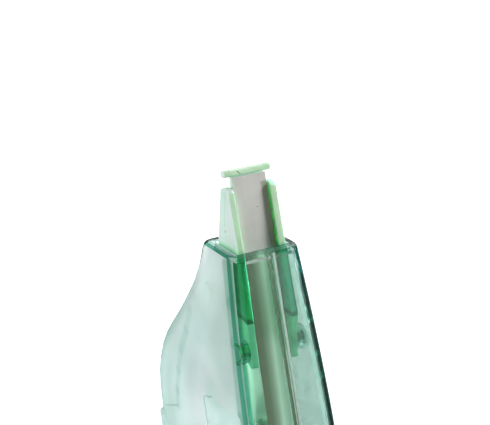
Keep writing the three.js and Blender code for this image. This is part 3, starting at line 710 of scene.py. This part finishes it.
@dataclass(frozen=True)
class Finishes:
    """Every finish of the object."""

    shell: Finish = ClearPlastic(name="case_clear", rough=0.02, rough_worn=0.09, bump=0.012)
    shell_right: Finish = ClearPlastic(
        name="case_clear_right", tone=(204, 229, 221), tone_low=(186, 216, 206), rough=0.06, rough_worn=0.16,
        bump=0.012, mottle=900.0, clear=0.88)
    frosted: Finish = SlantPlastic(
        name="case_satin", tone=(203, 217, 215), tone_low=(197, 212, 209), rough=0.6, rough_worn=0.7,
        clear=0.34, deep=(170, 204, 196), rim=(60, 110, 98), slant=(0.68, 0.84), outline=(0.88, 0.98),
        marks=LIGHT_PATCHES + CORNER_STRIP + THUMB_CURVE_SHADE + SIDE_LINES)
    side_right: Finish = SlantPlastic(
        name="case_side_right", tone=(174, 185, 182), tone_low=(165, 178, 174), rough=0.04, rough_worn=0.14,
        clear=0.94, ior=1.06, deep=(176, 210, 200), rim=(120, 176, 162), slant=(0.8, 0.92),
        outline=(0.93, 1.0))
    seam: Finish = ClearPlastic(
        name="case_seam", tone=(238, 255, 247), tone_low=(206, 236, 222), rough=0.12, rough_worn=0.3,
        mottle=2600.0, clear=0.3, ior=1.2)
    edge: Finish = SlantPlastic(name="case_edge", bump=0.004, ior=1.1, shade_tint=(225, 240, 236))
    edge_right: Finish = replace(
        edge, name="case_edge_right", deep=(120, 190, 172), rim=(0, 62, 54), slant=(0.1, 0.2),
        outline=(0.22, 0.34))
    posts: Finish = ClearPlastic(
        name="case_posts", tone=(146, 206, 186), tone_low=(126, 192, 170), rough=0.06, rough_worn=0.14,
        shade_tint=(190, 225, 212))
    roof: Finish = ClearPlastic(
        name="case_roof", tone=(172, 208, 197), tone_low=(96, 142, 130), rough=0.08, rough_worn=0.2,
        bump=0.03, mottle=2800.0, clear=0.85, shade_tint=(215, 235, 230), marks=ROOF_HIGHLIGHT_AND_LINES)
    head: Finish = HeadPlastic(
        name="head_mint", tone=(214, 249, 226), tone_low=(200, 243, 214), subsurface=1.0,
        scatter=(1.4, 3.2, 1.9), dust=0.15, marks=BAR_MARKS + CHEEK_MARKS)
    # greyer copy of the mint for the front faces and the bar's top: painted shade, as they get less light
    head_front_shaded: Finish = HeadPlastic(
        name="head_mint_front_shaded", tone=(214, 238, 212), tone_low=(204, 230, 200), rough=0.4, rough_worn=0.55,
        subsurface=0.5, scatter=(0.5, 1.2, 0.7), dust=0.15, marks=BAR_MARKS)
    # greener copy of the mint for the cheeks' inner faces: painted light, as where light shines through the
    # cheeks
    head_inner_lit: Finish = HeadPlastic(
        name="head_mint_inner_lit", tone=(188, 250, 196), tone_low=(170, 242, 180), subsurface=0.6,
        scatter=(0.5, 1.6, 0.8))
    head_pin: Finish = HeadPlastic(
        name="head_mint_pin", tone=(120, 200, 160), tone_low=(110, 190, 150), deep=(20, 140, 70),
        tail=(24, 120, 88), specular=0.3, shade_tint=None)
    moulding: Finish = Finish(
        name="reel_green", slot="pale_green", tone=(170, 222, 192), tone_low=(158, 212, 181), rough=0.42,
        bump=0.008, subsurface=0.4, scatter=(0.4, 1.2, 0.7))
    flange: Finish = replace(moulding, name="flange_green", tone=(212, 244, 224), tone_low=(200, 236, 213))
    tape: Finish = TapeFinish(
        name="tape_coat", slot="tape", tone=(228, 228, 222), tone_low=(212, 212, 205), rough=0.62,
        rough_worn=0.7, bump=0.004, fine=16000.0, dust=0.2, marks=TAPE_MARKS)
    rolled: Finish = Finish(
        name="tape_wound", slot="rolled_tape", tone=(232, 230, 222), tone_low=(214, 212, 204), rough=0.55,
        bump=0.02)
    film: Finish = Finish(
        name="film_clear", slot="film", tone=(252, 254, 252), tone_low=(248, 252, 249), rough=0.04,
        rough_worn=0.12, bump=0.002, clear=1.0, ior=1.03, shade_tint=(246, 250, 247))
    wound_film: Finish = Finish(
        name="film_wound", slot="film", tone=(224, 250, 232), tone_low=(212, 242, 221), rough=0.3,
        rough_worn=0.45, fine=5200.0, subsurface=0.5, scatter=(0.8, 1.6, 1.0))
    nylon: Finish = Finish(
        name="acetal", slot="natural", tone=(224, 234, 226), tone_low=(212, 224, 214), subsurface=0.3)
    felt: Finish = Finish(
        name="felt_pad", slot="felt", tone=(104, 120, 112), tone_low=(88, 104, 96), rough=0.95,
        rough_worn=1.0, bump=0.05, fine=5200.0, mottle=1200.0)
    label: Finish = replace(
        film, name="label_film", tone=(250, 254, 253), tone_low=(246, 252, 250), rough_worn=0.1, ior=1.02,
        shade_tint=(246, 251, 249))


FINISHES = Finishes()


# Mesh tools


def mode(name: str) -> None:
    """Goes to edit or object mode."""
    bpy.ops.object.mode_set(mode=name)


def deselect() -> None:
    """Leaves every object unselected."""
    if bpy.context.mode != "OBJECT":
        mode("OBJECT")
    bpy.ops.object.select_all(action="DESELECT")


def activate(obj: Piece) -> None:
    """Selects one object alone and makes it active.

    Args:
        obj: The object.
    """
    deselect()
    obj.select_set(True)
    bpy.context.view_layer.objects.active = obj


def enrol(piece: Piece, node: str, body: Body, finish: Finish, angle: float) -> Piece:
    """Shades and dresses a finished piece, hides its CAD node, logs which node it stands for, and hangs it
    on its body.

    Args:
        piece: The finished mesh.
        node: The CAD node that it replaces.
        body: The body that it rides on.
        finish: Its finish.
        angle: Edges sharper than this many degrees stay sharp.

    Returns:
        The piece.
    """
    bpy.ops.object.shade_smooth_by_angle(angle=math.radians(angle))
    piece.data.materials.clear()
    piece.data.materials.append(finish.build())
    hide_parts(node)
    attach(piece, body.value)
    log.info("%s stands for %s", piece.name, node)
    return piece


def smooth_copy(node: str, name: str, body: Body, finish: Finish, angle: float = 32.0) -> Piece:
    """Copies a CAD node's mesh and merges its loose triangles.

    Args:
        node: The CAD node.
        name: The new piece's name.
        body: The body that it rides on.
        finish: Its finish.
        angle: Edges sharper than this many degrees stay sharp.

    Returns:
        The new piece, which stands for the node.
    """
    piece = bpy.data.objects.new(name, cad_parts[node].data.copy())
    bpy.context.scene.collection.objects.link(piece)
    activate(piece)
    if piece.data.has_custom_normals:
        bpy.ops.mesh.customdata_custom_splitnormals_clear()
    mode("EDIT")
    bpy.ops.mesh.select_all(action="SELECT")
    bpy.ops.mesh.remove_doubles(threshold=1e-6)
    mode("OBJECT")
    return enrol(piece, node, body, finish, angle)


def cut(piece: Piece, place: Place, normal: Place) -> None:
    """Cuts a piece's faces along a plane and keeps both sides.

    Args:
        piece: The piece.
        place: A place on the plane, in millimetres.
        normal: The plane's normal.
    """
    activate(piece)
    mode("EDIT")
    bpy.ops.mesh.select_all(action="SELECT")
    bpy.ops.mesh.bisect(plane_co=tuple(c * MM for c in place), plane_no=normal)
    mode("OBJECT")


def finish_faces(piece: Piece, finishes: tuple[Finish, ...], zone: Callable[[Face], int]) -> None:
    """Adds finishes to a piece and gives each face its own.

    Args:
        piece: The piece, which has its plain finish.
        finishes: The finishes after the plain one.
        zone: Tells the number of a face's finish.
    """
    for finish in finishes:
        piece.data.materials.append(finish.build())
    for face in piece.data.polygons:
        face.material_index = zone(face)


def pull_strip(name: str, path: list[Span], half: float, thickness: float) -> Piece:
    """Models a thin strip by pulling one edge along a path and giving it a thickness.

    Args:
        name: The new piece's name.
        path: Its places in the middle plane, as y and z in millimetres.
        half: Half its width.
        thickness: Its thickness.

    Returns:
        The strip, active and not yet dressed.
    """
    deselect()
    bpy.ops.mesh.primitive_plane_add(size=2 * half * MM, location=(0, 0, 0))
    piece = bpy.context.object
    piece.name = name
    mode("EDIT")
    bpy.ops.mesh.select_mode(type="VERT")
    bpy.ops.mesh.select_all(action="DESELECT")
    mode("OBJECT")
    for corner in piece.data.vertices:
        corner.select = corner.co.y > 0
    mode("EDIT")
    bpy.ops.mesh.delete(type="VERT")
    bpy.ops.mesh.select_mode(type="EDGE")
    bpy.ops.mesh.select_all(action="SELECT")
    here = Vector((-half, 0.0))
    for number, place in enumerate(path):
        step = (Vector(place) - here) * MM
        if number:
            bpy.ops.mesh.extrude_edges_move(TRANSFORM_OT_translate={"value": (0, step.x, step.y)})
        else:
            bpy.ops.transform.translate(value=(0, step.x, step.y))
        here = Vector(place)
    mode("OBJECT")
    thicken = piece.modifiers.new("thickness", "SOLIDIFY")
    thicken.thickness = thickness * MM
    thicken.offset = 0.0
    bpy.ops.object.modifier_apply(modifier=thicken.name)
    return piece


# Sub-assemblies


@dataclass
class Case:
    """The two halves of the clear case, satin on the left and clear on the right, with deep rounded edges.

    Attributes:
        top: Height of the neck's flat top, in millimetres.
        half_at_neck: Half the thickness at the neck.
        half_at_body: Half the thickness at the body.
        taper: Depth over which the thickness grows.
        wall: Thickness of the wall.
        slack: How far a face may lie off its place.
        corner: How far a rounded corner reaches in from the side.
        roof_depth: How far the neck's rounded top edge reaches down.
        seam: From where to where the light line along the front seam runs, from the middle.
        side_normal: Least sideways share of a broad side's normal.
        corner_normal: Least sideways share of a rounded corner's normal.
        edge_turn: Least share of a second direction in a rounded edge's normal.
        wall_normal: Least upward share of the top edge's normal.
        flat_normal: Least upward share of the flat top's normal.
        posts: The posts and bosses inside, each as y, z and reach.
    """

    top: float = 66.0
    half_at_neck: float = 5.15
    half_at_body: float = 7.0
    taper: float = 40.0
    wall: float = 1.1
    slack: float = 0.1
    corner: float = 1.7
    roof_depth: float = 0.5
    seam: Span = (0.26, 0.62)
    side_normal: float = 0.98
    corner_normal: float = 0.2
    edge_turn: float = 0.03
    wall_normal: float = 0.05
    flat_normal: float = 0.97
    posts: tuple[Place, ...] = (
        (-13.23, 51.8, 1.9), (-4.03, 57.8, 1.9), (-13.93, 33.71, 1.9), (-8.15, 52.4, 1.3),
        (-3.65, 41.35, 2.6), (11.46, 33.84, 1.9))

    def half(self, z: float) -> float:
        """Returns half the outside thickness at a height, in millimetres."""
        share = min(max((self.top - z) / self.taper, 0.0), 1.0)
        return self.half_at_body - (self.half_at_body - self.half_at_neck) * (1 - share) ** 2

    def _zone(self, face: Face) -> CasePart:
        """Tells what kind of face one of the case's faces is.

        Args:
            face: A face of a case half.

        Returns:
            Its kind.
        """
        centre, normal = face.center / MM, face.normal
        if self.seam[0] < centre.x < self.seam[1] and centre.y < 0 and normal.y < -self.edge_turn:
            return CasePart.SEAM
        depth = self.half(centre.z) - abs(centre.x)
        outward = normal.x * centre.x > 0
        in_wall = -self.slack < depth < self.wall + self.slack and abs(normal.x) > self.side_normal
        if in_wall and abs(normal.y) < self.edge_turn:
            return CasePart.SIDE
        near_side = depth < self.corner
        if near_side and outward and normal.y > self.edge_turn and centre.z < self.top - 2 * self.corner:
            return CasePart.SIDE
        turned = normal.y < -self.edge_turn if outward else centre.x < 0 and normal.y > self.edge_turn
        on_corner = near_side and centre.y < 0 and abs(normal.x) > self.corner_normal and turned
        on_top = centre.z > self.top - self.roof_depth
        if on_corner or (on_top and self.wall_normal < normal.z < self.flat_normal):
            return CasePart.EDGE
        if on_top and normal.z > self.flat_normal:
            return CasePart.ROOF
        inside = self.wall + 2 * self.slack < depth < self.half(centre.z) - 2 * self.slack
        return CasePart.POST if inside and self._on_post(centre) else CasePart.CLEAR

    def _on_post(self, centre: Vector) -> bool:
        """Tells whether a place inside lies on one of the posts and bosses, and not on an edge wall."""
        return any(math.hypot(centre.y - y, centre.z - z) < reach for y, z, reach in self.posts)

    def _half(self, node: str, name: str) -> None:
        """Builds and dresses one half of the case.

        Args:
            node: The CAD node.
            name: The new piece's name.
        """
        right = name.endswith("right")
        piece = smooth_copy(node, name, Body.HOUSING, FINISHES.shell_right if right else FINISHES.shell)
        cut(piece, (self.seam[0], 0.0, 0.0), (1.0, 0.0, 0.0))
        side = FINISHES.side_right if right else FINISHES.frosted
        edge = FINISHES.edge_right if right else FINISHES.edge
        finish_faces(piece, (side, edge, FINISHES.posts, FINISHES.roof, FINISHES.seam), self._zone)

    def build(self) -> None:
        """Builds both halves."""
        self._half("left_case", "case_left")
        self._half("right_case", "case_right")


@dataclass
class Tip:
    """The head with its cheeks, blade and cross bar.

    Attributes:
        cheek: Between which distances from the middle the cheeks' inner faces lie, in millimetres.
        bar: Height above which the cross bar lies.
        pin: How far out the right side's pin starts.
        tape_at: A place on the tape's front, as y and z.
        tape_slope: How far back the tape moves for each millimetre up.
        base_top: Height below which the left base is drawn back.
        tail_top: Height below which the right base is drawn back.
        cut_up: How far above that height the head is cut.
        proud: How far the base stands in front of the tape.
        upward: Least upward share of the bar's top face's normal.
        straight: Least share of one direction in a flat front or inner face's normal.
    """

    cheek: Span = (2.6, 3.0)
    bar: float = 76.0
    pin: float = 3.7
    tape_at: Span = (-12.23, 65.4)
    tape_slope: float = 0.067
    base_top: float = 60.0
    tail_top: float = 55.9
    cut_up: float = 0.1
    proud: float = 0.95
    upward: float = 0.5
    straight: float = 0.9

    def _draw_back(self, head: Piece) -> None:
        """Draws the base's front edge back to the tape, so that the tape's whole width shows beside it.

        Args:
            head: The head.
        """
        for corner in head.data.vertices:
            place = corner.co / MM
            front = self.tape_at[0] - (self.tape_at[1] - place.z) * self.tape_slope - self.proud
            below = place.z < (self.base_top if place.x < 0 else self.tail_top)
            if abs(place.x) > self.cheek[0] and below and place.y < front:
                corner.co.y = front * MM

    def _zone(self, face: Face) -> HeadPart:
        """Tells what kind of face one of the head's faces is.

        Args:
            face: A face of the head.

        Returns:
            Its kind.
        """
        side = abs(face.center.x) / MM
        if face.center.x > self.pin * MM and face.center.z < self.tail_top * MM:
            return HeadPart.PIN
        on_bar = face.center.z > self.bar * MM
        # front faces and the bar's top take the greyer mint, which is painted shade
        in_front = face.normal.y < -self.straight and (side > self.cheek[1] or on_bar)
        if in_front or (on_bar and face.normal.z > self.upward):
            return HeadPart.FRONT
        # the cheeks' inner faces take the greener mint, which is painted light
        inward = face.normal.x * face.center.x < 0 and abs(face.normal.x) > self.straight
        return HeadPart.INNER if inward and self.cheek[0] < side < self.cheek[1] else HeadPart.PLAIN

    def build(self) -> None:
        """Builds the head."""
        piece = smooth_copy("head", "tip_head", Body.HOUSING, FINISHES.head)
        cut(piece, (0.0, 0.0, self.tail_top + self.cut_up), (0.0, 0.0, 1.0))
        self._draw_back(piece)
        finish_faces(piece, (FINISHES.head_front_shaded, FINISHES.head_inner_lit, FINISHES.head_pin), self._zone)


@dataclass
class TapePath:
    """The tape, the used film and the rollers that they run over.

    Attributes:
        half: Half the film's width, in millimetres.
        film_thickness: The film's thickness.
        film_angle: Edges of the film sharper than this many degrees stay sharp.
        tape_angle: Edges of the tape sharper than this many degrees stay sharp.
        end_depth: How far down the tape's top end reaches.
        lift: How far it is drawn up to meet the cross bar.
        film_start: Where the film leaves the tape, as y and z places.
        bar_front: Where the film passes in front of the cross bar.
        bar_back: Where it passes behind the bar.
        bar_low: Height of the bar's underside.
        bar_top: Height of the film over the bar.
        bar_turn: Radius of its turns over the bar.
        turn_steps: Steps in each of those turns.
        reel: The take-up reel's axis, as y and z.
        reel_radius: Radius of the take-up roll.
        wrap: How far the film runs on round the roll, in radians.
        wrap_steps: Steps in that stretch.
    """

    half: float = 2.5
    film_thickness: float = 0.05
    film_angle: float = 40.0
    tape_angle: float = 60.0
    end_depth: float = 0.1
    lift: float = 0.19
    film_start: tuple[Span, ...] = ((-10.33, 75.84), (-10.2, 76.08))
    bar_front: float = -10.165
    bar_back: float = -8.953
    bar_low: float = 76.2
    bar_top: float = 76.941
    bar_turn: float = 0.29
    turn_steps: int = 6
    reel: Span = (-3.654, 41.35)
    reel_radius: float = 6.4
    wrap: float = 0.5
    wrap_steps: int = 8

    def _film_path(self) -> list[Span]:
        """Works out how the used film runs: up from the tape, over the cross bar and down to its roll.

        Returns:
            Places in the middle plane, as y and z in millimetres.
        """
        turn = self.bar_turn
        path = [*self.film_start, (self.bar_front, self.bar_low)]
        for centre, first in ((self.bar_front + turn, math.pi), (self.bar_back - turn, math.pi / 2)):
            for step in range(self.turn_steps + 1):
                angle = first - step * math.pi / (2 * self.turn_steps)
                path.append((centre + turn * math.cos(angle), self.bar_top - turn + turn * math.sin(angle)))
        path.append((self.bar_back, self.bar_low))
        reach = Vector(path[-1]) - Vector(self.reel)
        touch = math.atan2(reach.y, reach.x) + math.acos(self.reel_radius / reach.length)
        for step in range(self.wrap_steps + 1):
            angle = touch + step * self.wrap / self.wrap_steps
            path.append((self.reel[0] + self.reel_radius * math.cos(angle),
                         self.reel[1] + self.reel_radius * math.sin(angle)))
        return path

    def _reach_bar(self, tape: Piece) -> None:
        """Draws the tape's top end up to the cross bar.

        Args:
            tape: The tape.
        """
        top = max(corner.co.z for corner in tape.data.vertices)
        for corner in tape.data.vertices:
            if corner.co.z > top - self.end_depth * MM:
                corner.co.z += self.lift * MM

    def build(self) -> None:
        """Builds the tape, the film and the rollers."""
        self._reach_bar(smooth_copy("feed_tape", "tape_run", Body.HOUSING, FINISHES.tape, self.tape_angle))
        film = pull_strip("film_run", self._film_path(), self.half, self.film_thickness)
        enrol(film, "backing_film", Body.HOUSING, FINISHES.film, self.film_angle)
        smooth_copy("feed_roller", "roller_feed", Body.FEED, FINISHES.nylon)
        smooth_copy("return_roller", "roller_return", Body.RETURN, FINISHES.nylon)


@dataclass
class Reels:
    """The supply and take-up reels with their gears, spring, washer and rolls.

    Attributes:
        pieces: Each piece's CAD node, name, body and finish.
    """

    pieces: tuple[tuple[str, str, Body, Finish], ...] = (
        ("supply_gear", "gear_supply", Body.SUPPLY, FINISHES.moulding),
        ("clutch_spring", "spring_clutch", Body.SUPPLY, FINISHES.nylon),
        ("supply_retainer", "ring_retainer", Body.SUPPLY, FINISHES.nylon),
        ("friction_washer", "washer_felt", Body.SUPPLY, FINISHES.felt),
        ("supply_spool", "spool_body", Body.SPOOL, FINISHES.moulding),
        ("supply_roll", "roll_tape", Body.SPOOL, FINISHES.rolled),
        ("take_up_reel", "reel_take_up", Body.TAKE_UP, FINISHES.moulding),
        ("take_up_flange", "flange_take_up", Body.TAKE_UP, FINISHES.flange),
        ("take_up_roll", "roll_film", Body.TAKE_UP, FINISHES.wound_film),
    )

    def build(self) -> None:
        """Builds every piece of the reels."""
        for node, name, body, finish in self.pieces:
            smooth_copy(node, name, body, finish)


@dataclass
class SideLabel:
    """The bare film label in the recess of the left side.

    Attributes:
        finish: Its finish.
    """

    finish: Finish = FINISHES.label

    def build(self) -> None:
        """Builds the label."""
        smooth_copy("side_label", "label_side", Body.HOUSING, self.finish)


# Studio


@dataclass
class Studio:
    """The pale floor, the lamps, the world and the camera.

    Attributes:
        floor_size: The floor's edge, in metres.
        paper: The two tones of the floor.
        fleck: Scale of the pattern between them.
        fleck_range: Between which values of its noise the second one comes in.
        ambient: How strongly the surroundings light the object.
        gloss: How strongly they show in gloss.
        lamps: Each lamp's name, place and edge in metres, and power in watts.
        aim: What the lamps face, in metres.
        eye: The camera's place, in millimetres.
        forward: Where it looks.
        roll: Its roll, in radians.
        focal: Its focal length, in pixels of the photograph.
        image: The photograph's size in pixels.
    """

    floor_size: float = 6.0
    paper: tuple[Tone, Tone] = ((200, 200, 200), (194, 195, 195))
    fleck: float = 40.0
    fleck_range: Span = (0.3, 0.7)
    ambient: float = 0.11
    gloss: float = 0.4
    lamps: tuple[tuple[str, Place, float, float], ...] = (
        ("lamp_right", (0.40, -0.13, 0.20), 0.09, 2.3),
        ("lamp_back_right", (0.34, 0.26, 0.30), 0.30, 1.2),
        ("lamp_left", (-0.42, 0.10, 0.24), 0.40, 1.8),
    )
    aim: Place = (0, 0, 0.05)
    eye: Place = (-50.581, -117.999, 106.757)
    forward: Place = (0.40034, 0.86914, -0.29040)
    roll: float = -0.0852
    focal: float = 897.92
    image: tuple[int, int] = (490, 425)

    def build(self) -> None:
        """Builds the studio."""
        self._floor()
        self._world()
        for name, place, size, power in self.lamps:
            self._lamp(name, Vector(place), size, power)
        self._camera()
        bpy.context.scene.view_settings.view_transform = "Standard"
        log.info("studio with %d lamps", len(self.lamps))

    def _seen(self, sheet: Sheet) -> Socket:
        """Tells by what kind of ray the white surroundings are seen.

        Args:
            sheet: The floor's or the world's sheet.

        Returns:
            1 for rays from the camera and through glass, less for gloss, 0 for rays that light the object.
        """
        path = sheet.add("LightPath").outputs
        mirrored = sheet.math("MULTIPLY", path["Is Glossy Ray"], self.gloss)
        shiny = sheet.math("MAXIMUM", mirrored, path["Is Transmission Ray"])
        direct = sheet.math("LESS_THAN", path["Diffuse Depth"], 0.5)
        return sheet.math("MULTIPLY", sheet.math("MAXIMUM", path["Is Camera Ray"], shiny), direct)

    def _floor(self) -> None:
        """Adds the pale floor, which the camera sees as white and which keeps the object's shadow."""
        deselect()
        bpy.ops.mesh.primitive_plane_add(size=self.floor_size, location=(0, 0, 0))
        floor = bpy.context.object
        floor.name = "floor"
        material = bpy.data.materials.new("floor_white")
        sheet = Sheet.blank(material)
        fleck = sheet.ramp(sheet.noise(self.fleck), *self.fleck_range)
        paper = sheet.add("BsdfPrincipled", {
            "Base Color": sheet.blend(fleck, *(linear(*tone) for tone in self.paper)),
            "Roughness": 0.9, "Specular IOR Level": 0.1})
        glow = sheet.add("Emission", {"Strength": self._seen(sheet)})
        both = sheet.add("AddShader", {0: paper.outputs[0], 1: glow.outputs[0]})
        sheet.add("OutputMaterial", {"Surface": both.outputs[0]})
        floor.data.materials.append(material)

    def _world(self) -> None:
        """Sets the white surroundings, dimmer where they light the object than where they are seen."""
        world = bpy.data.worlds.new("studio_white")
        bpy.context.scene.world = world
        sheet = Sheet.blank(world)
        strength = sheet.ramp(self._seen(sheet), 0.0, 1.0, self.ambient, 1.0)
        background = sheet.add("Background", {"Color": (1.0, 1.0, 1.0, 1.0), "Strength": strength})
        sheet.add("OutputWorld", {"Surface": background.outputs[0]})

    def _lamp(self, name: str, place: Vector, size: float, power: float) -> None:
        """Adds a soft square lamp that faces the object's middle.

        Args:
            name: The lamp's name.
            place: Where it hangs, in metres.
            size: Its edge, in metres.
            power: Its power in watts.
        """
        data = bpy.data.lights.new(name, "AREA")
        data.size = size
        data.energy = power
        lamp = bpy.data.objects.new(name, data)
        bpy.context.scene.collection.objects.link(lamp)
        lamp.visible_camera = False
        lamp.visible_transmission = False
        lamp.location = place
        lamp.rotation_euler = (Vector(self.aim) - place).to_track_quat("-Z", "Y").to_euler()

    def _camera(self) -> None:
        """Sets the camera at the photograph's place and angle."""
        data = bpy.data.cameras.new("camera")
        data.sensor_fit = "HORIZONTAL"
        data.sensor_width = 36.0
        data.lens = self.focal * data.sensor_width / self.image[0]
        data.clip_start = 0.005
        data.clip_end = 20.0
        camera = bpy.data.objects.new("camera", data)
        bpy.context.scene.collection.objects.link(camera)
        forward = Vector(self.forward).normalized()
        level = forward.cross(Vector((0, 0, 1))).normalized()
        upright = level.cross(forward)
        right = math.cos(self.roll) * level + math.sin(self.roll) * upright
        up = math.cos(self.roll) * upright - math.sin(self.roll) * level
        turn = Matrix((right, up, -forward)).transposed().to_4x4()
        camera.matrix_world = Matrix.Translation(Vector(self.eye) * MM) @ turn
        bpy.context.scene.camera = camera


def main() -> None:
    """Builds the object and the studio."""
    logging.basicConfig(level=logging.INFO, format="%(message)s")
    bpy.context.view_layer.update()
    for assembly in (Case(), Tip(), TapePath(), Reels(), SideLabel(), Studio()):
        assembly.build()


if __name__ == "__main__":
    main()
